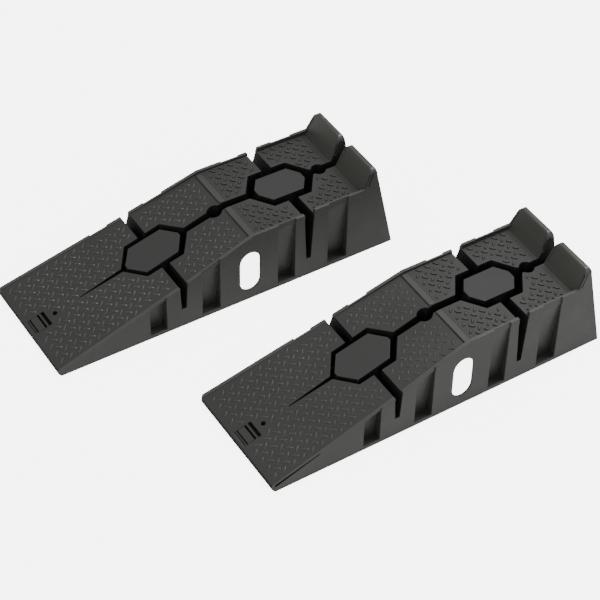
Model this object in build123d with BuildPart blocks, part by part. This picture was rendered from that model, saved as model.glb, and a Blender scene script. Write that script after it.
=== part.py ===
from build123d import *
from math import radians, tan
import os

# A pair of drive-on wheel ramps. +X is the way a wheel drives up, +Y is left, +Z is up.
# The origin is on the floor, under the middle of the pair. Sizes are in millimetres.

# Overall sizes of one ramp
ramp_length = 914.0
ramp_width = 300.0
toe_height = 13.0
toe_corner = 9.0
deck_height = 172.0
crest_x = 512.0
stop_height = 234.0

# How the two ramps stand to each other
track = 508.0
stagger = 234.0

# Walls of the moulding
wall = 4.0
deck_wall = 5.0
side_draft = 0.13
rear_draft = 0.248

# Curbs along the deck's long edges: height over the deck along each stretch
curb_width = 9.0
curb_toe = 1.5
curb_incline = 3.0
curb_crest = 8.0
curb_rear = 13.0

# The lip along the top of each side wall, and the cap on each wheel stop, stand out from the side
lip_height = 6.0
lip_depth = 1.5

# Wheel stops
stop_setback = 93.0
stop_ridge = 13.0
stop_round = 5.0
stop_crown = 10.0
stop_slot_width = 7.0
stop_slot_setback = 4.0
stop_slot_depth = 3.0
stop_cap = 12.0
stop_corner = 15.0
stop_border = 5.0
stop_panel_depth = 1.5
stop_panel_corner = 4.0

# Channels sunk in the deck, and the six-sided pads that they go round
channel_floor = 50.0
channel_draft = 3.4
channel_floor_width = 4.5
branch_floor_width = 12.0
branch_start = 9.0
needle_tip_x = 132.0
needle_tip_width = 1.0
front_pad_x = 323.0
front_pad_side = 82.0
front_pad_half = 43.0
front_pad_tip = 32.0
rear_pad_x = 666.5
rear_pad_side = 85.0
rear_pad_half = 39.5
rear_pad_tip = 30.5
crest_bulb_setback = 28.0
crest_bulb_width = 22.5
rear_bulb_setback = 38.0
rear_bulb_width = 20.5

# Recessed bays in the side walls: the two ends of each
bays = [(233.0, 277.0), (372.0, 420.0), (580.0, 628.0), (722.0, 777.0)]
bay_depth = 26.0
bay_ledge = 10.0
bay_lip = 6.0
bay_notch = 3.5

# Hand holes
hand_hole_x = 502.0
hand_hole_z = 80.0
hand_hole_width = 55.0
hand_hole_height = 106.0
hand_hole_inset = 8.0

# Cross ribs under the deck
rib_stations = [110.0, 185.0, 445.0, 800.0]
rib_thickness = 3.0
rib_depth = 14.0

# Clip window in the toe, the hole behind it, the clip and the rubber foot
window_start = 13.0
window_length = 23.5
window_half = 22.0
scoop_start = 4.0
scoop_length = 6.0
scoop_depth = 3.0
bar_width = 5.0
rear_slot_length = 7.5
toe_hole_x = 67.5
toe_hole_diameter = 11.0
clip_start = 3.0
clip_length = 16.0
clip_thickness = 3.0
clip_stem = 8.0
clip_gap = 0.6
foot_start = 9.0
foot_length = 50.0
foot_half = 60.0
foot_clearance = 0.3
foot_floor = 4.0

# Worked-out values
half_width = ramp_width / 2
bay_back = half_width - bay_depth
deck_slope = (deck_height - toe_height) / crest_x
upright_wall = deck_wall * (1 + deck_slope**2) ** 0.5
draft_tan = tan(radians(channel_draft))
over = 30.0
all_top = stop_height + over
stop_foot_x = ramp_length - stop_setback
stop_back_x = ramp_length - rear_draft * stop_height
stop_lean = (stop_back_x - stop_ridge - stop_foot_x) / (stop_height - deck_height)


def deck_z(x):
    """Height of the deck's surface at one place along the ramp."""
    return min(toe_height + deck_slope * x, deck_height)


def side_prism(points, reach=half_width):
    """A solid with the given side view, reaching as far to each side."""
    with BuildPart() as prism:
        with BuildSketch(Plane.XZ):
            Polygon(*points, align=None)
        extrude(amount=reach, both=True)
    return prism.part


def side_y(z):
    """How far the lip's side face stands from the middle at one height."""
    return half_width - side_draft * (z - toe_height + lip_height)


def channel_y(z):
    """Half the width of the middle channel at one height."""
    return channel_floor_width / 2 + draft_tan * (z - channel_floor)


def drafted_block(inset):
    """A block with drafted sides, as wide as the ramp less the inset at each side."""
    foot_y = side_y(0) - inset
    top_y = side_y(all_top) - inset
    with BuildPart() as block:
        with BuildSketch(Plane.YZ.offset(-over)):
            Polygon((-foot_y, 0), (foot_y, 0), (top_y, all_top), (-top_y, all_top), align=None)
        extrude(amount=ramp_length + 2 * over)
    return block.part


def pad_outline(centre, side, half, tip):
    """Corners of a pad that is drawn out to a point at each end."""
    front = centre - side / 2
    back = centre + side / 2
    return [(front, half), (back, half), (back + tip, 0), (back, -half), (front, -half), (front - tip, 0)]


pads = [
    (pad_outline(front_pad_x, front_pad_side, front_pad_half, front_pad_tip), deck_z(front_pad_x)),
    (pad_outline(rear_pad_x, rear_pad_side, rear_pad_half, rear_pad_tip), deck_z(rear_pad_x)),
]
front_pad_end = front_pad_x + front_pad_side / 2 + front_pad_tip
front_pad_start = front_pad_x - front_pad_side / 2 - front_pad_tip
rear_pad_start = rear_pad_x - rear_pad_side / 2 - rear_pad_tip
rear_pad_end = rear_pad_x + rear_pad_side / 2 + rear_pad_tip
bulbs = [
    (crest_x - crest_bulb_setback, crest_bulb_width),
    (rear_pad_end + rear_bulb_setback, rear_bulb_width),
]


def channels(grow, bottom):
    """The channels as one solid, widened by grow and reaching down to bottom."""
    rise = all_top - bottom
    widen = grow - draft_tan * (channel_floor - bottom)
    centre_half = channel_floor_width / 2 + widen
    branch_half = branch_floor_width / 2 + widen
    tip_half = needle_tip_width / 2 + widen
    with BuildPart() as network:
        for outline, pad_z in pads:
            channel_width = channel_floor_width + 2 * draft_tan * (pad_z - channel_floor)
            with BuildSketch(Plane.XY.offset(bottom)):
                Polygon(*outline, align=None)
                offset(amount=channel_width - draft_tan * (pad_z - bottom) + grow, kind=Kind.INTERSECTION)
            extrude(amount=rise, taper=-channel_draft)
        for outline, pad_z in pads:
            with BuildSketch(Plane.XY.offset(bottom)):
                Polygon(*outline, align=None)
                offset(amount=draft_tan * (pad_z - bottom) - grow, kind=Kind.INTERSECTION)
            extrude(amount=rise, taper=channel_draft, mode=Mode.SUBTRACT)
        legs = [(front_pad_end, rear_pad_start), (rear_pad_end, ramp_length + over)]
        for start, end in legs:
            with BuildSketch(Plane.XY.offset(bottom)):
                with Locations(((start + end) / 2, 0)):
                    Rectangle(end - start, 2 * centre_half)
            extrude(amount=rise, taper=-channel_draft)
        with BuildSketch(Plane.XY.offset(bottom)):
            Polygon(
                (needle_tip_x - grow, -tip_half),
                (front_pad_start, -centre_half),
                (front_pad_start, centre_half),
                (needle_tip_x - grow, tip_half),
                align=None,
            )
        extrude(amount=rise, taper=-channel_draft)
        for pad_x, pad_half in [(front_pad_x, front_pad_half), (rear_pad_x, rear_pad_half)]:
            for side in (-1, 1):
                inner = pad_half + branch_start
                outer = half_width + over
                with BuildSketch(Plane.XY.offset(bottom)):
                    with Locations((pad_x, side * (inner + outer) / 2)):
                        Rectangle(2 * branch_half, outer - inner)
                extrude(amount=rise, taper=-channel_draft)
        for bulb_x, bulb_width in bulbs:
            with BuildSketch(Plane.XY.offset(bottom)):
                with Locations((bulb_x, 0)):
                    Circle(bulb_width / 2 + widen)
            extrude(amount=rise, taper=-channel_draft)
    return network.part


def bay_outline(start, end, grow):
    """Side view of one bay, from its ledge up to the lip under the deck's edge."""
    ledge = bay_ledge - grow
    points = [(start - grow, ledge), (end + grow, ledge)]
    points.append((end + grow, deck_z(end) - bay_lip + grow))
    if start < crest_x < end:
        points.append((crest_x, deck_height - bay_lip + grow))
    points.append((start - grow, deck_z(start) - bay_lip + grow))
    return points


def bay_blocks(grow):
    """All the bays of both sides as one solid, each widened by grow."""
    with BuildPart() as blocks:
        for side in (-1, 1):
            for start, end in bays:
                with BuildSketch(Plane.XZ.offset(-side * (bay_back - grow))):
                    Polygon(*bay_outline(start, end, grow), align=None)
                extrude(amount=-side * (half_width + over - bay_back))
    return blocks.part


def outer_shell():
    """The moulding's outside, with no hollow yet."""
    curb_break = front_pad_x
    rear_break = rear_pad_x
    with BuildPart() as shell:
        with BuildSketch(Plane.XZ) as side_view:
            Polygon(
                (0, 0),
                (ramp_length, 0),
                (stop_back_x, stop_height),
                (stop_back_x - stop_ridge, stop_height),
                (stop_face_x(deck_height + curb_rear), deck_height + curb_rear),
                (rear_break, deck_height + curb_rear),
                (rear_break, deck_height + curb_crest),
                (crest_x, deck_height + curb_crest),
                (curb_break, deck_z(curb_break) + curb_incline),
                (curb_break, deck_z(curb_break) + curb_toe),
                (0, toe_height + curb_toe),
                align=None,
            )
            ridge = side_view.vertices().group_by(Axis.Y)[-1]
            fillet(ridge, stop_round)
        extrude(amount=half_width, both=True)
        with BuildSketch(Plane.XY) as plan:
            with Locations((ramp_length / 2, 0)):
                Rectangle(ramp_length, ramp_width)
            fillet(plan.vertices().group_by(Axis.X)[0], toe_corner)
        extrude(amount=all_top, mode=Mode.INTERSECT)
        add(side_faces(), mode=Mode.INTERSECT)
        add(well(), mode=Mode.SUBTRACT)
        add(bay_blocks(0), mode=Mode.SUBTRACT)
        add(notches(), mode=Mode.SUBTRACT)
        add(channels(0, channel_floor), mode=Mode.SUBTRACT)
        add(stop_slots(), mode=Mode.SUBTRACT)
        add(stop_corners(), mode=Mode.SUBTRACT)
        add(stop_panels(), mode=Mode.SUBTRACT)
    return shell.part


def stop_face_x(z):
    """Where the front face of the wheel stops is at one height."""
    return stop_foot_x + stop_lean * (z - deck_height)


def side_faces():
    """A block bounded by the side walls' faces, stepped out at the lip and at the stops' caps."""
    lip_start = toe_height - deck_slope * over - lip_height
    lip_level = deck_height - lip_height
    cap_level = stop_height - stop_cap
    lip = [
        (-over, lip_start),
        (crest_x, lip_level),
        (stop_face_x(lip_level) + stop_slot_setback, lip_level),
        (stop_face_x(cap_level) + stop_slot_setback, cap_level),
        (ramp_length + over, cap_level),
        (ramp_length + over, all_top),
        (-over, all_top),
    ]
    with BuildPart() as wide:
        add(side_prism(lip))
        add(drafted_block(0), mode=Mode.INTERSECT)
    with BuildPart() as faces:
        add(drafted_block(lip_depth))
        add(wide.part)
    return faces.part


def well():
    """The space over the deck, between the curbs and in front of the wheel stops."""
    side_view = [
        (-over, toe_height - deck_slope * over),
        (crest_x, deck_height),
        (stop_foot_x, deck_height),
        (stop_face_x(all_top), all_top),
        (-over, all_top),
    ]
    toe_y = side_y(toe_height - deck_slope * over) - curb_width
    crest_y = side_y(deck_height) - curb_width
    plan = [(-over, toe_y), (crest_x, crest_y), (ramp_length, crest_y)]
    with BuildPart() as space:
        with BuildSketch(Plane.XY):
            Polygon(*plan, *[(x, -y) for x, y in reversed(plan)], align=None)
        extrude(amount=all_top)
        add(side_prism(side_view), mode=Mode.INTERSECT)
    return space.part


def notches():
    """Shallow cuts that carry each bay up through the deck's edge."""
    with BuildPart() as cuts:
        for start, end in bays:
            with BuildSketch(Plane.XY.offset(deck_z(start) - bay_lip)):
                with Locations(((start + end) / 2, 0)):
                    Rectangle(end - start, 2 * (half_width + over))
            extrude(amount=over + deck_z(end) - deck_z(start))
        add(drafted_block(bay_notch), mode=Mode.SUBTRACT)
    return cuts.part


def stop_slots():
    """Slots down both side faces of each wheel stop, just behind its front plate."""
    low = deck_height + curb_rear
    high = stop_height - stop_cap
    points = []
    for height, shift in [(low, 0), (low, 1), (high, 1), (high, 0)]:
        points.append((stop_face_x(height) + stop_slot_setback + shift * stop_slot_width, height))
    with BuildPart() as core:
        add(drafted_block(stop_slot_depth))
        add(channels(stop_slot_depth, channel_floor), mode=Mode.SUBTRACT)
    with BuildPart() as slots:
        add(side_prism(points))
        add(core.part, mode=Mode.SUBTRACT)
    return slots.part


def stop_corners():
    """What the rounded top corners leave out of the wheel stops, seen from the front."""
    low = stop_height - stop_corner
    with BuildPart() as corners:
        with BuildSketch(Plane.YZ.offset(stop_foot_x)):
            with Locations((0, low)):
                Rectangle(ramp_width, stop_corner + over, align=(Align.CENTER, Align.MIN))
            for side in (-1, 1):
                with BuildSketch(mode=Mode.PRIVATE) as front:
                    Polygon(
                        (side * channel_y(deck_height), deck_height),
                        (side * side_y(deck_height), deck_height),
                        (side * side_y(stop_height), stop_height),
                        (side * channel_y(stop_height), stop_height),
                        align=None,
                    )
                    fillet(front.vertices().group_by(Axis.Y)[-1], stop_corner)
                add(front.sketch, mode=Mode.SUBTRACT)
        extrude(amount=ramp_length - stop_foot_x + over)
    return corners.part


def stop_panels():
    """The shallow panel sunk in the front face of each wheel stop, inside its border."""
    steep = (1 + stop_lean**2) ** 0.5
    face = Plane(origin=(stop_foot_x, 0, deck_height), x_dir=(0, -1, 0), z_dir=(-1, 0, stop_lean))
    low = deck_height + stop_border
    high = stop_height - stop_cap
    with BuildPart() as panels:
        with BuildSketch(face):
            for side in (-1, 1):
                with BuildSketch(mode=Mode.PRIVATE) as outline:
                    Polygon(
                        (side * (channel_y(low) + stop_border), stop_border * steep),
                        (side * (side_y(low) - stop_border), stop_border * steep),
                        (side * (side_y(high) - stop_border), (high - deck_height) * steep),
                        (side * (channel_y(high) + stop_border), (high - deck_height) * steep),
                        align=None,
                    )
                    fillet(outline.vertices(), stop_panel_corner)
                add(outline.sketch)
        extrude(amount=-stop_panel_depth)
    return panels.part


def hollow():
    """The space inside the moulding, open underneath."""
    ceiling = deck_height - deck_wall
    stop_inner = stop_height - stop_crown
    under_deck = [
        (foot_start, -over),
        (ramp_length - wall + rear_draft * over, -over),
        (ramp_length - wall - rear_draft * ceiling, ceiling),
        (crest_x, ceiling),
        (foot_start, deck_z(foot_start) - upright_wall),
    ]
    in_stops = [
        (stop_foot_x + wall + stop_panel_depth, ceiling - wall),
        (ramp_length - wall - rear_draft * (ceiling - wall), ceiling - wall),
        (ramp_length - wall - rear_draft * stop_inner, stop_inner),
        (stop_face_x(stop_inner) + wall + stop_panel_depth, stop_inner),
    ]
    with BuildPart() as stop_space:
        add(side_prism(in_stops))
        add(drafted_block(wall + stop_slot_depth), mode=Mode.INTERSECT)
        add(channels(wall + stop_slot_depth, channel_floor - deck_wall), mode=Mode.SUBTRACT)
    with BuildPart() as space:
        add(side_prism(under_deck))
        add(drafted_block(wall + lip_depth), mode=Mode.INTERSECT)
        add(stop_space.part)
        add(bay_blocks(wall), mode=Mode.SUBTRACT)
        add(channels(wall, channel_floor - deck_wall), mode=Mode.SUBTRACT)
        for station in rib_stations:
            rib_low = deck_z(station) - deck_wall - rib_depth
            with BuildSketch(Plane.XY.offset(rib_low)):
                with Locations((station, 0)):
                    Rectangle(rib_thickness, ramp_width)
            extrude(amount=all_top - rib_low, mode=Mode.SUBTRACT)
    return space.part


def hand_holes():
    """The upright hand hole through each side wall."""
    with BuildPart() as holes:
        for side in (-1, 1):
            with BuildSketch(Plane.XZ.offset(-side * (bay_back - hand_hole_inset))):
                with Locations((hand_hole_x, hand_hole_z)):
                    SlotOverall(hand_hole_height, hand_hole_width, rotation=90)
            extrude(amount=-side * (half_width + over - bay_back))
    return holes.part


def toe_openings():
    """The clip window, the slot behind its rear bar, the scoop in front of it and the round hole."""
    window_end = window_start + window_length
    slot_start = window_end + bar_width
    scoop_end = scoop_start + scoop_length
    scoop = [
        (scoop_start, deck_z(scoop_start)),
        (scoop_end, deck_z(scoop_end) - scoop_depth),
        (scoop_end, deck_z(scoop_end) + over),
        (scoop_start, deck_z(scoop_start) + over),
    ]
    with BuildPart() as openings:
        add(side_prism(scoop, window_half))
        for start, length in [(window_start, window_length), (slot_start, rear_slot_length)]:
            with BuildSketch(Plane.XY):
                with Locations((start + length / 2, 0)):
                    Rectangle(length, 2 * window_half)
            extrude(amount=deck_height)
        with BuildSketch(Plane.XY):
            with Locations((toe_hole_x, 0)):
                Circle(toe_hole_diameter / 2)
        extrude(amount=deck_height)
    return openings.part


def ramp_body():
    """The hollow one-piece moulding."""
    with BuildPart() as body:
        add(outer_shell())
        add(hollow(), mode=Mode.SUBTRACT)
        add(hand_holes(), mode=Mode.SUBTRACT)
        add(toe_openings(), mode=Mode.SUBTRACT)
    return body.part


clip_middle = window_start + clip_start + clip_length / 2
stem_half = window_half - clip_gap - clip_stem / 2


def non_skid_foot():
    """The rubber block under the toe, with a pocket for the clip's stem."""
    skin = upright_wall + foot_clearance
    front = foot_start + foot_clearance
    back = foot_start + foot_length
    block = [(front, 0), (back, 0), (back, deck_z(back) - skin), (front, deck_z(front) - skin)]
    with BuildPart() as foot:
        add(side_prism(block, foot_half))
        with BuildSketch(Plane.XY.offset(foot_floor)):
            with Locations((clip_middle, 0)):
                Rectangle(clip_stem + 2 * foot_clearance, 2 * (stem_half + foot_clearance))
        extrude(amount=deck_height, mode=Mode.SUBTRACT)
    return foot.part


def foot_clip():
    """The plate that closes the window, with its stem down into the foot."""
    start = clip_middle - clip_length / 2
    end = clip_middle + clip_length / 2
    plate = [
        (start, deck_z(start) - clip_thickness),
        (end, deck_z(end) - clip_thickness),
        (end, deck_z(end)),
        (start, deck_z(start)),
    ]
    with BuildPart() as clip:
        with BuildSketch(Plane.XY.offset(foot_floor)):
            with Locations((clip_middle, 0)):
                Rectangle(clip_stem, 2 * stem_half)
        extrude(amount=deck_z(clip_middle) - clip_thickness / 2 - foot_floor)
        add(side_prism(plate, window_half - clip_gap))
    return clip.part


# Both ramps are the same three pieces, set side by side and staggered along the way of travel.
first_x = -(ramp_length + stagger) / 2
places = {"left": (first_x, track / 2, 0), "right": (first_x + stagger, -track / 2, 0)}
pieces = {"ramp_body": ramp_body(), "non_skid_foot": non_skid_foot(), "foot_clip": foot_clip()}

os.makedirs("parts", exist_ok=True)
for side, place in places.items():
    for name, piece in pieces.items():
        with BuildPart() as placed:
            with Locations(place):
                add(piece)
        placed.part.label = f"{side}_{name}"
        export_step(placed.part, f"parts/{side}_{name}.step")
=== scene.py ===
"""A pair of drive-on wheel ramps in black moulded plastic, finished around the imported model."""

import logging
from dataclasses import dataclass
from enum import Enum
from functools import cached_property
from math import atan, ceil, cos, hypot, pi, radians, sin

import bmesh
import bpy
from mathutils import Matrix, Vector
from mathutils.bvhtree import BVHTree


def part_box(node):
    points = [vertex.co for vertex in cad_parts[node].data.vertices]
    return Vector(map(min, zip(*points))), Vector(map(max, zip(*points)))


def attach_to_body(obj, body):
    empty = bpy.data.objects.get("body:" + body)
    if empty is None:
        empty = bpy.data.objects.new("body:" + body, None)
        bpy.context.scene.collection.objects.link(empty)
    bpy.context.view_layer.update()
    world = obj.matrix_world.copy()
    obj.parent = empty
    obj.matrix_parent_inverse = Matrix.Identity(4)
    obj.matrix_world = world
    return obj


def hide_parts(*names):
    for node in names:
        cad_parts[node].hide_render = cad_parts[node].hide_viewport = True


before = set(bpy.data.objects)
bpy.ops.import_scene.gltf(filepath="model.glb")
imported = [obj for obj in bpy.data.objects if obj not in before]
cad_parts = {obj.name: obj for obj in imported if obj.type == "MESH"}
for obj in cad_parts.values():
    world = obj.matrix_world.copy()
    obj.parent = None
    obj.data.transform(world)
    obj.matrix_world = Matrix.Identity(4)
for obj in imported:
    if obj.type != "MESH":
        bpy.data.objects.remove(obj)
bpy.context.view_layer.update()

log = logging.getLogger("wheel_ramps")
MM = 0.001
# A slanted direction, along which faces are put in order
SORT_DIRECTION = Vector((1.0, 0.7548776662, 0.569840291))


class Side(Enum):
    """Which of the two ramps a piece belongs to."""

    LEFT = "left"
    RIGHT = "right"


class Slot(Enum):
    """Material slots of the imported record."""

    PLASTIC = "ramp_plastic"
    RUBBER = "foot_rubber"
    CLIP = "clip_plastic"


class BevelClass(Enum):
    """How far an edge of the moulding is rounded, as a share of the full rounding."""

    WIDE = 1.0
    FINE = 0.4
    NONE = 0.0


# ---------------------------------------------------------------------------------------------
# Shared effects

PIT_SMOOTHNESS = 0.6
SWELL_SCALE = 160.0
SWELL_DETAIL = 3.0
SWELL_SHARE = 0.5
CLOUD_SCALE = 9.0
CLOUD_BAND = (0.35, 0.7)
CLOUD_SHARE = 0.55
CLOUD_DETAIL = 4.0
RUB_STRETCH = (0.18, 1.0, 1.0)
RUB_SCALE = 210.0
RUB_DETAIL = 2.0
RUB_ROUGHNESS = 0.7
RUB_BAND = (0.56, 0.74)
RUB_SHARE = 0.45
GLOSS_SWING = (0.04, -0.05)
GRAIN_STRENGTH = 0.5
# Sockets of a Mix node that mixes colours
MIX_FACTOR = 0
MIX_FIRST = 6
MIX_SECOND = 7
MIX_RESULT = 2


class NodeTree:
    """A short way to add and wire nodes in a material or a group."""

    def __init__(self, tree: bpy.types.NodeTree) -> None:
        """Keeps the tree that the nodes go into.

        Args:
            tree: the node tree of a material, a world or a group.
        """
        self.tree = tree

    def add(self, kind: str, **values: object) -> bpy.types.Node:
        """Adds one node.

        Args:
            kind: the node's type name.
            **values: properties of the node, such as operation or data_type.

        Returns:
            The new node.
        """
        node = self.tree.nodes.new(kind)
        for name, value in values.items():
            setattr(node, name, value)
        return node

    def link(self, source: bpy.types.NodeSocket, target: bpy.types.NodeSocket) -> None:
        """Wires one socket to another."""
        self.tree.links.new(source, target)

    def noise(
        self,
        vector: bpy.types.NodeSocket,
        scale: float,
        detail: float,
        rough: float = 0.55,
    ) -> bpy.types.Node:
        """Adds a noise texture on the given coordinates.

        Args:
            vector: the coordinates.
            scale: features per metre.
            detail: octaves of detail.
            rough: how strong the small octaves are.

        Returns:
            The noise node.
        """
        node = self.add("ShaderNodeTexNoise")
        self.link(vector, node.inputs["Vector"])
        node.inputs["Scale"].default_value = scale
        node.inputs["Detail"].default_value = detail
        node.inputs["Roughness"].default_value = rough
        return node

    def ramp(
        self,
        value: bpy.types.NodeSocket,
        low: float,
        high: float,
        to_low: float,
        to_high: float,
    ) -> bpy.types.Node:
        """Maps a value smoothly from one range to another.

        Args:
            value: what is mapped.
            low: start of the range it comes from.
            high: end of that range.
            to_low: start of the range it goes to.
            to_high: end of that range.

        Returns:
            The Map Range node, whose output is Result.
        """
        node = self.add("ShaderNodeMapRange", interpolation_type="SMOOTHSTEP")
        self.link(value, node.inputs["Value"])
        node.inputs["From Min"].default_value = low
        node.inputs["From Max"].default_value = high
        node.inputs["To Min"].default_value = to_low
        node.inputs["To Max"].default_value = to_high
        return node

    def math(
        self,
        operation: str,
        first: bpy.types.NodeSocket,
        second: bpy.types.NodeSocket | float,
    ) -> bpy.types.Node:
        """Adds a math node.

        Args:
            operation: the node's operation.
            first: the first value.
            second: the second value, a socket or a number.

        Returns:
            The math node.
        """
        node = self.add("ShaderNodeMath", operation=operation)
        self.link(first, node.inputs[0])
        if isinstance(second, bpy.types.NodeSocket):
            self.link(second, node.inputs[1])
        else:
            node.inputs[1].default_value = second
        return node


def new_group(
    name: str,
    inputs: dict[str, tuple[str, float | None]],
    outputs: dict[str, str],
) -> NodeTree:
    """Makes an empty shader node group with its sockets.

    Args:
        name: the group's name.
        inputs: socket type and first value of each input, by name.
        outputs: socket type of each output, by name.

    Returns:
        The group's tree, with its input and output nodes added.
    """
    group = bpy.data.node_groups.new(name, "ShaderNodeTree")
    for socket, (kind, value) in inputs.items():
        made = group.interface.new_socket(socket, in_out="INPUT", socket_type=kind)
        if value is not None:
            made.default_value = value
    for socket, kind in outputs.items():
        group.interface.new_socket(socket, in_out="OUTPUT", socket_type=kind)
    tree = NodeTree(group)
    tree.add("NodeGroupInput", name="In")
    tree.add("NodeGroupOutput", name="Out")
    return tree


def moulded_grain_group() -> bpy.types.NodeTree:
    """The spark-eroded grain of a steel mould, as a height.

    Returns:
        The group, which takes Vector, Grain (grains per metre) and gives Height.
    """
    tree = new_group(
        "moulded_grain",
        {"Vector": ("NodeSocketVector", None), "Grain": ("NodeSocketFloat", 700.0)},
        {"Height": "NodeSocketFloat"},
    )
    source = tree.tree.nodes["In"].outputs
    pits = tree.add("ShaderNodeTexVoronoi", feature="SMOOTH_F1")
    tree.link(source["Vector"], pits.inputs["Vector"])
    tree.link(source["Grain"], pits.inputs["Scale"])
    pits.inputs["Smoothness"].default_value = PIT_SMOOTHNESS
    swell = tree.noise(source["Vector"], SWELL_SCALE, SWELL_DETAIL)
    swell_share = tree.math("MULTIPLY", swell.outputs[0], SWELL_SHARE)
    total = tree.math("ADD", pits.outputs["Distance"], swell_share.outputs[0])
    tree.link(total.outputs[0], tree.tree.nodes["Out"].inputs["Height"])
    return tree.tree


def handling_group() -> bpy.types.NodeTree:
    """Uneven gloss and shade left by moulding and handling: flow marks, cloudiness and faint rubs.

    Returns:
        The group, which takes Vector, Color, Rubbed Color and Amount, and gives Color and Gloss
        (a value that is added to the roughness).
    """
    tree = new_group(
        "handling",
        {
            "Vector": ("NodeSocketVector", None),
            "Color": ("NodeSocketColor", None),
            "Rubbed Color": ("NodeSocketColor", None),
            "Amount": ("NodeSocketFloat", 0.5),
        },
        {"Color": "NodeSocketColor", "Gloss": "NodeSocketFloat"},
    )
    source = tree.tree.nodes["In"].outputs
    cloud = tree.noise(source["Vector"], CLOUD_SCALE, CLOUD_DETAIL)
    cloud_mask = tree.ramp(cloud.outputs[0], *CLOUD_BAND, 0.0, 1.0)
    stretch = tree.add("ShaderNodeMapping")
    stretch.inputs["Scale"].default_value = RUB_STRETCH
    tree.link(source["Vector"], stretch.inputs["Vector"])
    rubs = tree.noise(stretch.outputs[0], RUB_SCALE, RUB_DETAIL, RUB_ROUGHNESS)
    rub_mask = tree.ramp(rubs.outputs[0], *RUB_BAND, 0.0, 1.0)
    cloud_share = tree.math("MULTIPLY", cloud_mask.outputs[0], CLOUD_SHARE)
    rub_share = tree.math("MULTIPLY", rub_mask.outputs[0], RUB_SHARE)
    total = tree.math("ADD", cloud_share.outputs[0], rub_share.outputs[0])
    share = tree.math("MULTIPLY", total.outputs[0], source["Amount"])
    mix = tree.add("ShaderNodeMix", data_type="RGBA")
    tree.link(share.outputs[0], mix.inputs[MIX_FACTOR])
    tree.link(source["Color"], mix.inputs[MIX_FIRST])
    tree.link(source["Rubbed Color"], mix.inputs[MIX_SECOND])
    gloss = tree.ramp(total.outputs[0], 0.0, 1.0, *GLOSS_SWING)
    tree.link(mix.outputs[MIX_RESULT], tree.tree.nodes["Out"].inputs["Color"])
    tree.link(gloss.outputs[0], tree.tree.nodes["Out"].inputs["Gloss"])
    return tree.tree


@dataclass(frozen=True)
class SharedEffects:
    """The node groups that more than one finish uses."""

    grain: bpy.types.NodeTree
    handling: bpy.types.NodeTree

    @staticmethod
    def build() -> "SharedEffects":
        """Builds each group once."""
        return SharedEffects(moulded_grain_group(), handling_group())


# ---------------------------------------------------------------------------------------------
# Finishes


@dataclass(frozen=True)
class MouldedFinish:
    """A moulded finish: its colour where it is plain and where it is rubbed, gloss and grain."""

    name: str
    colour: tuple[float, float, float]
    rubbed: tuple[float, float, float]
    roughness: float
    specular: float
    wear: float
    grain: float
    grain_depth: float

    def build(self, effects: SharedEffects) -> bpy.types.Material:
        """Makes the material.

        Args:
            effects: the shared node groups.

        Returns:
            The finished material.
        """
        material = bpy.data.materials.new(self.name)
        material.use_nodes = True
        tree = NodeTree(material.node_tree)
        shader = material.node_tree.nodes["Principled BSDF"]
        shader.inputs["Specular IOR Level"].default_value = self.specular
        place = tree.add("ShaderNodeTexCoord").outputs["Object"]
        handling = tree.add("ShaderNodeGroup", node_tree=effects.handling)
        tree.link(place, handling.inputs["Vector"])
        handling.inputs["Color"].default_value = (*self.colour, 1.0)
        handling.inputs["Rubbed Color"].default_value = (*self.rubbed, 1.0)
        handling.inputs["Amount"].default_value = self.wear
        tree.link(handling.outputs["Color"], shader.inputs["Base Color"])
        gloss = tree.math("ADD", handling.outputs["Gloss"], self.roughness)
        tree.link(gloss.outputs[0], shader.inputs["Roughness"])
        grain = tree.add("ShaderNodeGroup", node_tree=effects.grain)
        tree.link(place, grain.inputs["Vector"])
        grain.inputs["Grain"].default_value = self.grain
        bump = tree.add("ShaderNodeBump")
        bump.inputs["Strength"].default_value = GRAIN_STRENGTH
        bump.inputs["Distance"].default_value = self.grain_depth
        tree.link(grain.outputs["Height"], bump.inputs["Height"])
        tree.link(bump.outputs["Normal"], shader.inputs["Normal"])
        return material


@dataclass(frozen=True)
class StudioPaper:
    """The pale sweep that the ramps stand on."""

    name: str = "studio_paper"
    light: float = 0.86
    glow: float = 0.25
    seen_glow: float = 5.5
    roughness: float = 0.9
    specular: float = 0.1
    fibre_scale: float = 40.0
    fibre_detail: float = 3.0
    fibre_band: tuple[float, float] = (0.3, 0.7)
    fibre_shade: float = 0.01

    def build(self) -> bpy.types.Material:
        """Makes the material.

        Returns:
            The finished material, which glows more towards the viewer than towards the ramps.
        """
        material = bpy.data.materials.new(self.name)
        material.use_nodes = True
        tree = NodeTree(material.node_tree)
        shader = material.node_tree.nodes["Principled BSDF"]
        shader.inputs["Roughness"].default_value = self.roughness
        shader.inputs["Specular IOR Level"].default_value = self.specular
        place = tree.add("ShaderNodeTexCoord").outputs["Object"]
        fibre = tree.noise(place, self.fibre_scale, self.fibre_detail)
        darkest = self.light - self.fibre_shade
        lightest = self.light + self.fibre_shade
        shade = tree.ramp(fibre.outputs[0], *self.fibre_band, darkest, lightest)
        tint = tree.add("ShaderNodeCombineColor")
        for channel in range(3):
            tree.link(shade.outputs[0], tint.inputs[channel])
        tree.link(tint.outputs[0], shader.inputs["Base Color"])
        shader.inputs["Emission Color"].default_value = (1.0, 1.0, 1.0, 1.0)
        seen = tree.add("ShaderNodeLightPath").outputs["Is Camera Ray"]
        glow = tree.ramp(seen, 0.0, 1.0, self.glow, self.seen_glow)
        tree.link(glow.outputs[0], shader.inputs["Emission Strength"])
        return material


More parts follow.
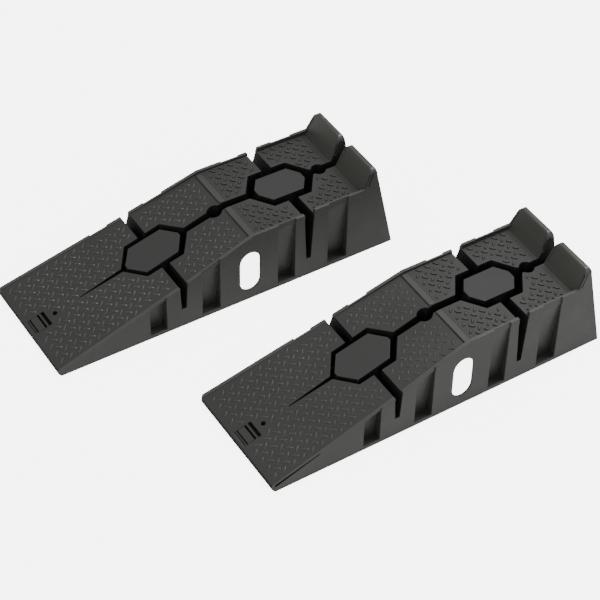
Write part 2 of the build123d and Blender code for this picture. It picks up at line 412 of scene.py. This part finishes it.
DECK_PLASTIC = MouldedFinish(
    name="deck_plastic",
    colour=(0.034, 0.034, 0.032),
    rubbed=(0.052, 0.052, 0.049),
    roughness=0.46,
    specular=0.5,
    wear=0.5,
    grain=620.0,
    grain_depth=0.0002,
)
# Plastic's own tone, made a little lighter than the deck's as a painted sheen on the smooth pads
PAD_PLASTIC_AND_SHEEN = MouldedFinish(
    name="pad_plastic_and_sheen",
    colour=(0.040, 0.040, 0.039),
    rubbed=(0.050, 0.050, 0.048),
    roughness=0.5,
    specular=0.4,
    wear=0.35,
    grain=900.0,
    grain_depth=0.0001,
)
# Lighter than the deck partly for wear and partly as a painted highlight on what stands proud of it
TREAD_WEAR_AND_HIGHLIGHT = MouldedFinish(
    name="tread_wear_and_highlight",
    colour=(0.046, 0.046, 0.044),
    rubbed=(0.075, 0.075, 0.071),
    roughness=0.36,
    specular=0.6,
    wear=0.6,
    grain=900.0,
    grain_depth=0.0001,
)
# Painted shade: a near-black finish standing for the shade in the channels, under the lip and on
# the level lozenges' sides
PAINTED_SHADE_PLASTIC = MouldedFinish(
    name="painted_shade_plastic",
    colour=(0.009, 0.009, 0.009),
    rubbed=(0.014, 0.014, 0.014),
    roughness=0.6,
    specular=0.2,
    wear=0.4,
    grain=620.0,
    grain_depth=0.0002,
)
# Painted highlight: a lighter finish standing for the light caught by faces that look up above the
# deck
RIM_PAINTED_HIGHLIGHT = MouldedFinish(
    name="rim_painted_highlight",
    colour=(0.060, 0.060, 0.056),
    rubbed=(0.085, 0.085, 0.080),
    roughness=0.36,
    specular=0.6,
    wear=0.7,
    grain=900.0,
    grain_depth=0.0001,
)
# Plastic's own tone, made a little darker than the deck's as painted shade on the faces that look
# sideways
WALL_PLASTIC_AND_SHADE = MouldedFinish(
    name="wall_plastic_and_shade",
    colour=(0.031, 0.032, 0.027),
    rubbed=(0.045, 0.046, 0.040),
    roughness=0.44,
    specular=0.5,
    wear=0.4,
    grain=620.0,
    grain_depth=0.00015,
)
# Painted light: a lighter finish standing for the light that falls on the stops' faces
STOP_PAINTED_LIGHT = MouldedFinish(
    name="stop_painted_light",
    colour=(0.057, 0.058, 0.050),
    rubbed=(0.070, 0.071, 0.062),
    roughness=0.44,
    specular=0.5,
    wear=0.5,
    grain=620.0,
    grain_depth=0.00015,
)
FOOT_RUBBER = MouldedFinish(
    name="foot_rubber",
    colour=(0.009, 0.009, 0.009),
    rubbed=(0.015, 0.015, 0.015),
    roughness=0.82,
    specular=0.15,
    wear=0.6,
    grain=420.0,
    grain_depth=0.0003,
)
CLIP_PLASTIC = MouldedFinish(
    name="clip_plastic",
    colour=(0.038, 0.038, 0.037),
    rubbed=(0.050, 0.050, 0.048),
    roughness=0.42,
    specular=0.5,
    wear=0.3,
    grain=900.0,
    grain_depth=0.0001,
)
# In the order of the moulding's material slots
MOULDING_FINISHES = (
    DECK_PLASTIC,
    PAD_PLASTIC_AND_SHEEN,
    WALL_PLASTIC_AND_SHADE,
    PAINTED_SHADE_PLASTIC,
    RIM_PAINTED_HIGHLIGHT,
    STOP_PAINTED_LIGHT,
)


# ---------------------------------------------------------------------------------------------
# The ramp's plan


@dataclass(frozen=True)
class PadPlan:
    """One smooth six-sided pad of the deck: its middle along the ramp and its sizes."""

    middle: float
    length: float
    half: float
    tip: float

    def holds(self, x: float, y: float, margin: float) -> bool:
        """Whether a place on the deck lies on the pad or within margin of it.

        Args:
            x: metres from the toe.
            y: metres from the ramp's middle.
            margin: how far outside the pad still counts, in metres.

        Returns:
            True on the pad.
        """
        along = abs(x - self.middle) - margin
        across = abs(y) - margin
        if across > self.half or along > self.length / 2 + self.tip:
            return False
        if along <= self.length / 2:
            return True
        return across <= self.half * (1 - (along - self.length / 2) / self.tip)


@dataclass(frozen=True)
class RampPlan:
    """Sizes of one ramp along and over its deck, from its toe and its middle, in metres."""

    side: Side
    toe_height: float = 13 * MM
    crest_x: float = 512 * MM
    deck_height: float = 172 * MM
    curb_inside: float = 119.5 * MM
    channel_half: float = 9.5 * MM
    front_pad: PadPlan = PadPlan(323 * MM, 82 * MM, 43 * MM, 32 * MM)
    rear_pad: PadPlan = PadPlan(666.5 * MM, 85 * MM, 39.5 * MM, 30.5 * MM)

    @property
    def body_node(self) -> str:
        """The CAD node of the moulding."""
        return f"{self.side.value}_ramp_body"

    @property
    def body(self) -> str:
        """The body that the ramp's pieces ride on."""
        return f"{self.side.value}_ramp"

    @cached_property
    def origin(self) -> Vector:
        """The middle of the toe on the floor."""
        low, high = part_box(self.body_node)
        return Vector((low.x, (low.y + high.y) / 2, low.z))

    @property
    def slope(self) -> float:
        """Rise of the incline for each metre along the floor."""
        return (self.deck_height - self.toe_height) / self.crest_x

    def deck_z(self, x: float) -> float:
        """Height of the deck at a distance from the toe."""
        return min(self.toe_height + self.slope * x, self.deck_height)

    def deck_turn(self, x: float) -> Matrix:
        """The turn from level to the deck's slope at a distance from the toe."""
        tilt = atan(self.slope) if x < self.crest_x else 0.0
        return Matrix.Rotation(-tilt, 4, "Y")

    def on_pad(self, x: float, y: float, margin: float = 0.0) -> bool:
        """Whether a place on the deck lies on one of the smooth pads."""
        return self.front_pad.holds(x, y, margin) or self.rear_pad.holds(x, y, margin)


def shown_piece(
    name: str,
    shape: bmesh.types.BMesh,
    materials: list[bpy.types.Material],
) -> bpy.types.Object:
    """Turns a finished bmesh into an object at the origin.

    Args:
        name: the piece's name.
        shape: the geometry, which is freed.
        materials: the piece's materials, in slot order.

    Returns:
        The new object.
    """
    mesh = bpy.data.meshes.new(name)
    shape.to_mesh(mesh)
    shape.free()
    for material in materials:
        mesh.materials.append(material)
    piece = bpy.data.objects.new(name, mesh)
    bpy.context.scene.collection.objects.link(piece)
    return piece


def attach(piece: bpy.types.Object, plan: RampPlan) -> None:
    """Makes a piece ride on its ramp."""
    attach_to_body(piece, plan.body)


# ---------------------------------------------------------------------------------------------
# Bevelled mouldings


@dataclass
class BevelledCopy:
    """A CAD piece with its sharp edges rounded as a moulded piece's are."""

    node: str
    radius: float = 1.3 * MM
    sharp: float = radians(24)
    thin_face: float = 1.2 * MM
    broad_face: float = 6.0 * MM
    weld: float = 0.02 * MM
    flat: float = radians(0.6)
    segments: int = 2

    def merged(self) -> bmesh.types.BMesh:
        """The CAD mesh with its loose triangles joined into flat faces without inward corners.

        Returns:
            The merged geometry.
        """
        mesh = bpy.data.objects[self.node].data.copy()
        shading = mesh.attributes.get("custom_normal")
        if shading is not None:
            mesh.attributes.remove(shading)
        shape = bmesh.new()
        shape.from_mesh(mesh)
        bpy.data.meshes.remove(mesh)
        bmesh.ops.remove_doubles(shape, verts=shape.verts, dist=self.weld)
        bmesh.ops.dissolve_limit(
            shape,
            angle_limit=self.flat,
            use_dissolve_boundaries=False,
            verts=shape.verts,
            edges=shape.edges,
        )
        bmesh.ops.connect_verts_concave(shape, faces=shape.faces)
        return shape

    def face_depth(self, face: bmesh.types.BMFace, edge: bmesh.types.BMEdge) -> float:
        """How far a face reaches from one of its edges.

        Args:
            face: the face.
            edge: the edge that the distance is taken from.

        Returns:
            The largest distance of the face's corners from the edge's line, in metres.
        """
        start = edge.verts[0].co
        along = (edge.verts[1].co - start).normalized()
        return max((vert.co - start).cross(along).length for vert in face.verts)

    def bevel_class(self, edge: bmesh.types.BMEdge) -> BevelClass:
        """How far one edge is rounded.

        Args:
            edge: an edge of the merged mesh.

        Returns:
            NONE on a smooth edge, FINE where a face beside it is narrow, else WIDE.
        """
        if not edge.is_manifold or edge.calc_face_angle(0.0) < self.sharp:
            return BevelClass.NONE
        depth = min(self.face_depth(face, edge) for face in edge.link_faces)
        if depth < self.thin_face:
            return BevelClass.NONE
        return BevelClass.WIDE if depth > self.broad_face else BevelClass.FINE

    def build(self, name: str, materials: list[bpy.types.Material]) -> bpy.types.Object:
        """Makes the rounded piece.

        Args:
            name: the new piece's name.
            materials: its materials, in slot order.

        Returns:
            The piece, with its rounding as a live modifier.
        """
        shape = self.merged()
        weights = shape.edges.layers.float.new("bevel_weight_edge")
        for edge in shape.edges:
            edge[weights] = self.bevel_class(edge).value
            edge.smooth = edge[weights] > 0 or edge.calc_face_angle(0.0) < self.sharp
        self.paint(shape)
        for face in shape.faces:
            face.smooth = True
        piece = shown_piece(name, shape, materials)
        bevel = piece.modifiers.new("edges", "BEVEL")
        bevel.limit_method = "WEIGHT"
        bevel.width = self.radius
        bevel.segments = self.segments
        bevel.profile = 0.5
        bevel.use_clamp_overlap = False
        bevel.harden_normals = True
        return piece

    def paint(self, shape: bmesh.types.BMesh) -> None:
        """Chooses the material of each face; a plain piece has one."""


@dataclass(kw_only=True)
class RampShell(BevelledCopy):
    """The hollow one-piece moulding of a ramp."""

    plan: RampPlan
    deck_slot: int = 0
    pad_slot: int = 1
    wall_slot: int = 2
    painted_shade_slot: int = 3
    rim_highlight_slot: int = 4
    stop_light_slot: int = 5
    channel_depth: float = 2 * MM
    lip_depth: float = 3 * MM
    toe_reach: float = 13 * MM
    deck_band: float = 1 * MM
    upward: float = 0.7
    leaning: float = 0.5

    def bevel_class(self, edge: bmesh.types.BMEdge) -> BevelClass:
        """How far one edge is rounded; the short edges round the toe's corners keep less.

        Args:
            edge: an edge of the merged mesh.

        Returns:
            The class of a plain piece's edge, but never WIDE at the toe.
        """
        reach = max(vert.co.x for vert in edge.verts) - self.plan.origin.x
        chosen = super().bevel_class(edge)
        return BevelClass.FINE if chosen is BevelClass.WIDE and reach < self.toe_reach else chosen

    def in_channel(self, tree: BVHTree, face: bmesh.types.BMFace, centre: Vector) -> bool:
        """Whether a face lies in one of the channels sunk in the deck.

        Args:
            tree: the moulding's surface.
            face: the face.
            centre: its middle, from the ramp's origin.

        Returns:
            True if it is below the deck, between the curbs and open to the sky.
        """
        above = centre.z > self.plan.deck_z(centre.x) - self.channel_depth
        if above or abs(centre.y) > self.plan.curb_inside:
            return False
        start = face.calc_center_median() + face.normal * MM
        return tree.ray_cast(start, Vector((0, 0, 1)))[0] is None

    def under_lip(self, face: bmesh.types.BMFace, centre: Vector) -> bool:
        """Whether a face is the narrow underside of the lip or of a stop's cap.

        Args:
            face: the face.
            centre: its middle, from the ramp's origin.

        Returns:
            True if it faces down, is narrow and lies outside the curbs.
        """
        narrow = min(self.face_depth(face, edge) for edge in face.edges) < self.lip_depth
        faces_down = face.normal.z < -self.leaning
        return faces_down and narrow and abs(centre.y) > self.plan.curb_inside

    def on_stop(self, face: bmesh.types.BMFace, centre: Vector) -> bool:
        """Whether a face is the side of a wheel stop that the wheel meets.

        Args:
            face: the face.
            centre: its middle, from the ramp's origin.

        Returns:
            True if it faces the toe and lies above the deck, between the curbs.
        """
        above = centre.z > self.plan.deck_z(centre.x)
        return face.normal.x < -self.leaning and above and abs(centre.y) < self.plan.curb_inside

    def paint(self, shape: bmesh.types.BMesh) -> None:
        """Gives deck, pads and walls their finishes; paints shade on the channels and the
        undersides of lip and caps, a highlight on faces that look up above the deck, and light on
        the stops' faces.

        Args:
            shape: the moulding's merged mesh.
        """
        origin = self.plan.origin
        tree = BVHTree.FromBMesh(shape)
        for face in shape.faces:
            centre = face.calc_center_median() - origin
            level = self.plan.deck_z(centre.x)
            if face.normal.z > self.upward and abs(centre.z - level) < self.deck_band:
                on_pad = self.plan.on_pad(centre.x, centre.y)
                face.material_index = self.pad_slot if on_pad else self.deck_slot
            # Channels and the narrow undersides of lip and caps get the painted shade finish
            elif self.in_channel(tree, face, centre) or self.under_lip(face, centre):
                face.material_index = self.painted_shade_slot
            # The stops' faces get the painted light finish
            elif self.on_stop(face, centre):
                face.material_index = self.stop_light_slot
            # Faces that look up above the deck get the painted highlight finish
            elif face.normal.z > self.leaning and centre.z > level:
                face.material_index = self.rim_highlight_slot
            else:
                face.material_index = self.wall_slot


# ---------------------------------------------------------------------------------------------
# What stands proud of the deck


@dataclass
class TreadField:
    """The raised lozenges of the deck, in two directions set between each other."""

    plan: RampPlan
    pitch: float = 24.6 * MM
    length: float = 18.5 * MM
    width: float = 6.2 * MM
    height: float = 1.4 * MM
    level_height: float = 2.2 * MM
    sunk: float = 0.3 * MM
    top_slot: int = 0
    side_slot: int = 1
    side_limit: float = 0.5
    corners: int = 10
    shoulder: float = 0.7
    crown: float = 0.25 * MM
    crown_inset: float = 0.5 * MM
    margin: float = 1.5 * MM
    start: float = 12 * MM
    end: float = 803 * MM
    crest_gap: tuple[float, float] = (501 * MM, 527 * MM)
    edge_gap: float = 3.0 * MM
    pad_gap: float = 5.0 * MM
    half_width: float = 150 * MM
    flatness: float = 0.4 * MM
    probe_height: float = 0.4
    # places on a lozenge that must lie over plain deck, as shares of its half length and width
    probes: tuple[tuple[float, float], ...] = (
        (0, 0),
        (1, 0),
        (-1, 0),
        (0, 1),
        (0, -1),
        (0.6, 0.7),
        (0.6, -0.7),
        (-0.6, 0.7),
        (-0.6, -0.7),
    )

    def lozenge(self, height: float, side_slot: int) -> bpy.types.Mesh:
        """One lozenge, with its long way along X and the deck at z = 0.

        Args:
            height: how far its shoulder stands over the deck.
            side_slot: the material slot of its sides.

        Returns:
            The mesh that the lozenges of one part of the field are copies of.
        """
        rise = height + self.sunk
        lift = Matrix.Translation((0, 0, rise / 2 - self.sunk))
        size = Matrix.Diagonal((self.length / 2, self.width / 2, 1, 1))
        shape = bmesh.new()
        bmesh.ops.create_cone(
            shape,
            cap_ends=True,
            segments=self.corners,
            radius1=1.0,
            radius2=self.shoulder,
            depth=rise,
            matrix=lift @ size,
        )
        top = max(shape.faces, key=lambda face: face.calc_center_median().z)
        bmesh.ops.inset_individual(shape, faces=[top], thickness=self.crown_inset, depth=self.crown)
        for face in shape.faces:
            is_side = abs(face.normal.z) < self.side_limit
            face.material_index = side_slot if is_side else self.top_slot
        mesh = bpy.data.meshes.new("lozenge")
        shape.to_mesh(mesh)
        shape.free()
        return mesh

    def stations(self) -> list[tuple[float, float, float]]:
        """Places of all lozenges that a plain rectangle of deck would have.

        Returns:
            Distance from the toe, distance from the middle and turn of each.
        """
        places = []
        slant = hypot(1.0, self.plan.slope)
        rows = ceil(self.plan.crest_x * slant / self.pitch)
        columns = ceil(self.half_width / self.pitch)
        for row in range(-rows, rows):
            for column in range(-columns, columns + 1):
                for shift, turn in ((0.0, pi / 4), (0.5, -pi / 4)):
                    run = (row + shift) * self.pitch
                    x = self.plan.crest_x + (run / slant if run < 0 else run)
                    places.append((x, (column + shift) * self.pitch, turn))
        return places

    def in_crest_gap(self, x: float) -> bool:
        """Whether a distance from the toe lies in the plain strip at the crest."""
        return self.crest_gap[0] < x < self.crest_gap[1]

    def clear(self, tree: BVHTree, origin: Vector, x: float, y: float, turn: float) -> bool:
        """Whether a lozenge at a place would lie wholly on plain deck.

        Args:
            tree: the moulding's surface.
            origin: the middle of the toe on the floor.
            x: metres from the toe.
            y: metres from the middle.
            turn: the lozenge's turn about the deck's normal.

        Returns:
            True if the lozenge and its margin are clear of edges, pads and openings.
        """
        if not self.start < x < self.end or self.in_crest_gap(x):
            return False
        reach_long = self.length / 2 + self.margin
        reach_wide = self.width / 2 + self.margin + self.edge_gap
        along = (cos(turn), sin(turn))
        for step_long, step_wide in self.probes:
            ahead = step_long * reach_long
            aside = step_wide * reach_wide
            probe_x = x + ahead * along[0] - aside * along[1]
            probe_y = y + ahead * along[1] + aside * along[0]
            if self.in_crest_gap(probe_x) or self.plan.on_pad(probe_x, probe_y, self.pad_gap):
                return False
            start = origin + Vector((probe_x, probe_y, self.probe_height))
            hit = tree.ray_cast(start, Vector((0, 0, -1)))[0]
            deck_z = origin.z + self.plan.deck_z(probe_x)
            if hit is None or abs(hit.z - deck_z) > self.flatness:
                return False
        return True

    def build(self, materials: list[bpy.types.Material]) -> bpy.types.Object:
        """Makes the whole field as one piece.

        Args:
            materials: the finishes of the lozenges' tops and the painted shade of the level deck's
                lozenge sides.

        Returns:
            The piece.
        """
        source = bmesh.new()
        source.from_mesh(bpy.data.objects[self.plan.body_node].data)
        tree = BVHTree.FromBMesh(source)
        source.free()
        sloped = self.lozenge(self.height, self.top_slot)
        # The level lozenges' sides take painted shade
        level = self.lozenge(self.level_height, self.side_slot)
        shape = bmesh.new()
        origin = self.plan.origin
        for x, y, turn in self.stations():
            if self.clear(tree, origin, x, y, turn):
                spot = Matrix.Translation(origin + Vector((x, y, self.plan.deck_z(x))))
                lozenge = (sloped if x < self.plan.crest_x else level).copy()
                lozenge.transform(spot @ self.plan.deck_turn(x) @ Matrix.Rotation(turn, 4, "Z"))
                shape.from_mesh(lozenge)
                bpy.data.meshes.remove(lozenge)
        piece = shown_piece(f"{self.plan.side.value}_tread", shape, materials)
        attach(piece, self.plan)
        return piece


@dataclass
class DeckBands:
    """The low smooth bands across the deck, at the crest and in front of the wheel stops."""

    plan: RampPlan
    sunk: float = 0.4 * MM
    inner_gap: float = 2.0 * MM
    outer_gap: float = 1.0 * MM
    rounding: float = 0.9
    segments: int = 3
    # start along the ramp, length and height of each band
    bands: tuple[tuple[float, float, float], ...] = (
        (505.0 * MM, 16.0 * MM, 1.5 * MM),
        (811.0 * MM, 8.5 * MM, 0.8 * MM),
    )

    def strip(
        self,
        shape: bmesh.types.BMesh,
        start: float,
        length: float,
        height: float,
        side: int,
    ) -> None:
        """Adds one band on one side of the middle channel.

        Args:
            shape: the geometry that it is added to.
            start: where it starts along the ramp.
            length: its size along the ramp.
            height: how far it stands over the deck.
            side: 1 for left of the channel, -1 for right.
        """
        inner = self.plan.channel_half + self.inner_gap
        outer = self.plan.curb_inside - self.outer_gap
        middle = start + length / 2
        rise = height + self.sunk
        aside = side * (inner + outer) / 2
        spot = self.plan.origin + Vector((middle, aside, self.plan.deck_z(middle)))
        place = Matrix.Translation(spot) @ self.plan.deck_turn(middle)
        lift = Matrix.Translation((0, 0, rise / 2 - self.sunk))
        size = Matrix.Diagonal((length, outer - inner, rise, 1))
        made = bmesh.ops.create_cube(shape, size=1.0, matrix=place @ lift @ size)
        top = sorted(made["verts"], key=lambda vert: (place.inverted() @ vert.co).z)[4:]
        edges = [edge for edge in shape.edges if all(vert in top for vert in edge.verts)]
        bmesh.ops.bevel(
            shape,
            geom=edges,
            offset=height * self.rounding,
            offset_type="OFFSET",
            affect="EDGES",
            segments=self.segments,
            profile=0.5,
            material=-1,
        )

    def build(self, material: bpy.types.Material) -> bpy.types.Object:
        """Makes all the bands as one piece.

        Args:
            material: the finish of what stands proud of the deck, lighter than the deck partly as a
                painted highlight.

        Returns:
            The piece.
        """
        shape = bmesh.new()
        for start, length, height in self.bands:
            for side in (-1, 1):
                self.strip(shape, start, length, height, side)
        # Bevel lists its new faces in an order that changes from run to run
        shape.faces.sort(key=lambda face: face.calc_center_median().dot(SORT_DIRECTION))
        for face in shape.faces:
            face.smooth = False
        piece = shown_piece(f"{self.plan.side.value}_deck_bands", shape, [material])
        attach(piece, self.plan)
        return piece


@dataclass
class ToeSocket:
    """The blind socket moulded under the round hole of the toe."""

    plan: RampPlan
    hole_x: float = 67.5 * MM
    bore: float = 11.4 * MM
    skin: float = 2.0 * MM
    top_gap: float = 4.0 * MM
    depth: float = 13.0 * MM
    taper: float = 0.94
    segments: int = 32

    def build(self, material: bpy.types.Material) -> bpy.types.Object:
        """Makes the socket as a cup whose rim is sunk in the deck's underside.

        Args:
            material: the finish of the moulding's walls.

        Returns:
            The piece.
        """
        outer = self.bore / 2 + self.skin
        deck_z = self.plan.deck_z(self.hole_x)
        middle_z = deck_z - self.top_gap - self.depth / 2
        middle = self.plan.origin + Vector((self.hole_x, 0, middle_z))
        shape = bmesh.new()
        bmesh.ops.create_cone(
            shape,
            cap_ends=True,
            segments=self.segments,
            radius1=outer * self.taper,
            radius2=outer,
            depth=self.depth,
            matrix=Matrix.Translation(middle),
        )
        top = max(shape.faces, key=lambda face: face.calc_center_median().z)
        bmesh.ops.inset_individual(shape, faces=[top], thickness=self.skin)
        pushed = bmesh.ops.extrude_discrete_faces(shape, faces=[top])["faces"]
        bmesh.ops.translate(shape, verts=pushed[0].verts, vec=(0, 0, self.skin - self.depth))
        piece = shown_piece(f"{self.plan.side.value}_toe_socket", shape, [material])
        attach(piece, self.plan)
        return piece


@dataclass
class Ramp:
    """One ramp: its moulding, tread, bands, rubber foot and clip."""

    plan: RampPlan

    def build(self, materials: dict[str, bpy.types.Material]) -> list[bpy.types.Object]:
        """Makes and dresses every piece of the ramp.

        Args:
            materials: the finishes by name.

        Returns:
            The ramp's pieces.
        """
        side = self.plan.side.value
        shell = RampShell(node=self.plan.body_node, plan=self.plan).build(
            f"{side}_moulding",
            [materials[finish.name] for finish in MOULDING_FINISHES],
        )
        attach(shell, self.plan)
        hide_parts(self.plan.body_node)
        clip_node = f"{side}_foot_clip"
        clip = BevelledCopy(node=clip_node, radius=0.5 * MM).build(
            f"{side}_clip_plate", [materials[CLIP_PLASTIC.name]]
        )
        attach(clip, self.plan)
        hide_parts(clip_node)
        foot_node = f"{side}_non_skid_foot"
        foot = BevelledCopy(node=foot_node, radius=1.5 * MM).build(
            f"{side}_rubber_foot", [materials[FOOT_RUBBER.name]]
        )
        attach(foot, self.plan)
        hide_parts(foot_node)
        # Lozenges and bands are lighter than the deck partly as a painted highlight; the level
        # lozenges' sides take painted shade
        raised = materials[TREAD_WEAR_AND_HIGHLIGHT.name]
        tread = TreadField(self.plan).build([raised, materials[PAINTED_SHADE_PLASTIC.name]])
        bands = DeckBands(self.plan).build(raised)
        socket = ToeSocket(self.plan).build(materials[WALL_PLASTIC_AND_SHADE.name])
        return [shell, clip, foot, tread, bands, socket]


# ---------------------------------------------------------------------------------------------
# Studio


@dataclass(frozen=True)
class SoftBox:
    """A large square studio light: where it is, what it points at, its size and its power."""

    name: str
    place: tuple[float, float, float]
    aim: tuple[float, float, float]
    size: float
    power: float

    def build(self) -> bpy.types.Object:
        """Makes the light.

        Returns:
            The light, in its place and turned to what it points at.
        """
        lamp = bpy.data.lights.new(self.name, "AREA")
        lamp.shape = "SQUARE"
        lamp.size = self.size
        lamp.energy = self.power
        light = bpy.data.objects.new(self.name, lamp)
        light.location = self.place
        towards = Vector(self.aim) - Vector(self.place)
        light.rotation_euler = towards.to_track_quat("-Z", "Y").to_euler()
        bpy.context.scene.collection.objects.link(light)
        return light


@dataclass
class Studio:
    """Floor, soft lights and camera."""

    floor_size: float = 30.0
    sky: float = 0.46
    camera_place: tuple[float, float, float] = (-1.7840, -2.1756, 2.9006)
    heading: float = radians(50.77)
    dip: float = radians(45.36)
    roll: float = radians(7.37)
    lens: float = 104.04
    sensor: float = 36.0
    reach: float = 100.0
    boxes: tuple[SoftBox, ...] = (
        SoftBox("top_light", (2.9, 0.2, 5.6), (0.0, 0.0, 0.0), 2.2, 226.0),
        SoftBox("front_light", (-2.2, -5.6, 3.0), (0.0, 0.0, 0.1), 2.6, 74.0),
        SoftBox("toe_light", (-6.0, -0.6, 2.6), (0.0, 0.0, 0.1), 2.0, 66.0),
    )

    def build_floor(self) -> bpy.types.Object:
        """Makes the pale floor, which isn't part of the object.

        Returns:
            The floor.
        """
        shape = bmesh.new()
        bmesh.ops.create_grid(shape, x_segments=1, y_segments=1, size=self.floor_size / 2)
        floor = shown_piece("studio_floor", shape, [StudioPaper().build()])
        return floor

    def build_sky(self) -> None:
        """Fills the room with even white light."""
        world = bpy.data.worlds.new("studio_room")
        world.use_nodes = True
        sky = world.node_tree.nodes["Background"]
        sky.inputs["Color"].default_value = (1.0, 1.0, 1.0, 1.0)
        sky.inputs["Strength"].default_value = self.sky
        bpy.context.scene.world = world

    def build_camera(self) -> bpy.types.Object:
        """Makes the camera from its place, heading, dip below the horizon and roll.

        Returns:
            The camera, which is also made the scene's own.
        """
        lens = bpy.data.cameras.new("camera")
        lens.lens = self.lens
        lens.sensor_width = self.sensor
        lens.clip_end = self.reach
        camera = bpy.data.objects.new("camera", lens)
        level_ahead = Vector((cos(self.heading), sin(self.heading), 0.0))
        ahead = cos(self.dip) * level_ahead - Vector((0.0, 0.0, sin(self.dip)))
        level = Vector((sin(self.heading), -cos(self.heading), 0.0))
        upright = level.cross(ahead)
        across = cos(self.roll) * level + sin(self.roll) * upright
        upwards = cos(self.roll) * upright - sin(self.roll) * level
        camera.matrix_world = Matrix(
            (
                (across.x, upwards.x, -ahead.x, self.camera_place[0]),
                (across.y, upwards.y, -ahead.y, self.camera_place[1]),
                (across.z, upwards.z, -ahead.z, self.camera_place[2]),
                (0.0, 0.0, 0.0, 1.0),
            )
        )
        bpy.context.scene.collection.objects.link(camera)
        bpy.context.scene.camera = camera
        return camera

    def build(self) -> None:
        """Makes everything of the studio."""
        self.build_floor()
        self.build_sky()
        self.build_camera()
        for box in self.boxes:
            box.build()


def main() -> None:
    """Builds the studio and both ramps."""
    logging.basicConfig(level=logging.INFO, format="%(name)s: %(message)s")
    effects = SharedEffects.build()
    finishes = (*MOULDING_FINISHES, TREAD_WEAR_AND_HIGHLIGHT, FOOT_RUBBER, CLIP_PLASTIC)
    materials = {finish.name: finish.build(effects) for finish in finishes}
    Studio().build()
    for side in Side:
        for piece in Ramp(RampPlan(side)).build(materials):
            log.info("%s: %d faces", piece.name, len(piece.data.polygons))


if __name__ == "__main__":
    main()
